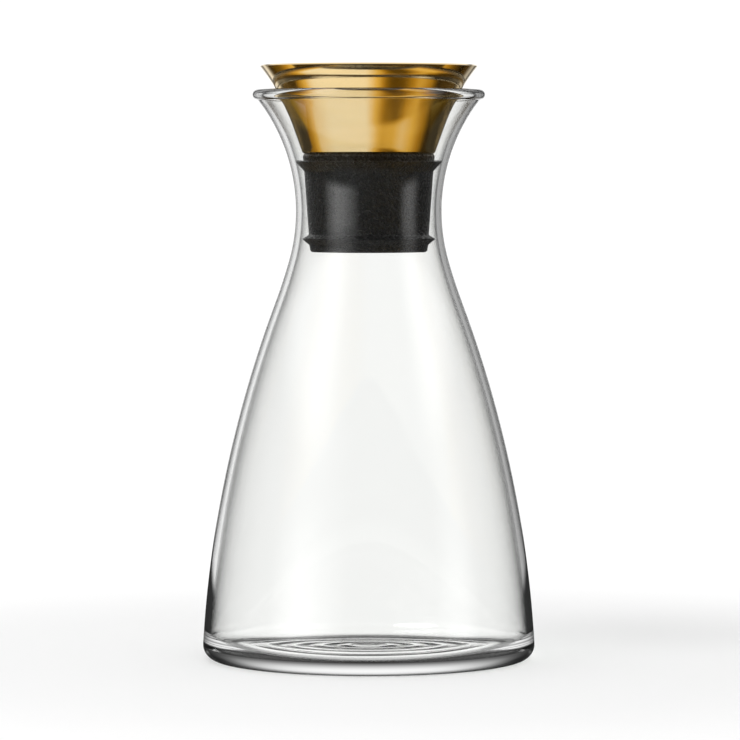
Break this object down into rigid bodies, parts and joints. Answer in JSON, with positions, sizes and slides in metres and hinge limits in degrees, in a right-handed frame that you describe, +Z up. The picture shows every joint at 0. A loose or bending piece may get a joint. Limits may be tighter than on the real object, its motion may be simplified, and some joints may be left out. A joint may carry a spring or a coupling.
{
  "type": "carafe",
  "caption": "Round glass carafe with a flared neck, closed by a soft-lipped lift-out stopper with a flared metal pouring collar and a weighted tipping lid.",
  "frame": {"origin": "on the table, under the middle of the foot", "axes": "+Z up along the vessel's axis; -Y is the side that the lid opens to"},
  "size_m": [0.1356, 0.1356, 0.2424],
  "materials": {
    "clear_glass": "clear, fire-polished",
    "gold_steel": "polished steel with a gold-coloured coating",
    "black_silicone": "matt, fine grain",
    "black_plastic": "moulded, fine satin",
    "bare_steel": "turned"
  },
  "bodies": {
    "vessel": {"glass_vessel": "clear_glass"},
    "stopper": {"stopper_sleeve": "black_silicone", "pour_collar": "gold_steel", "valve_core": "black_plastic", "seat_seal": "black_silicone", "stem_guide": "black_plastic"},
    "lid": {"tilt_lid": "gold_steel", "lid_stem": "bare_steel", "lid_weight": "bare_steel"}
  },
  "joints": [
    {"name": "stopper_lift", "type": "slide", "parent": "vessel", "child": "stopper", "axis": [0, 0, 1], "range_m": [0, 0.07]},
    {"name": "lid_tip", "type": "hinge", "parent": "stopper", "child": "lid", "pos_m": [0, 0.01932, 0.2017], "axis": [-1, 0, 0], "range_deg": [0, 24]}
  ]
}
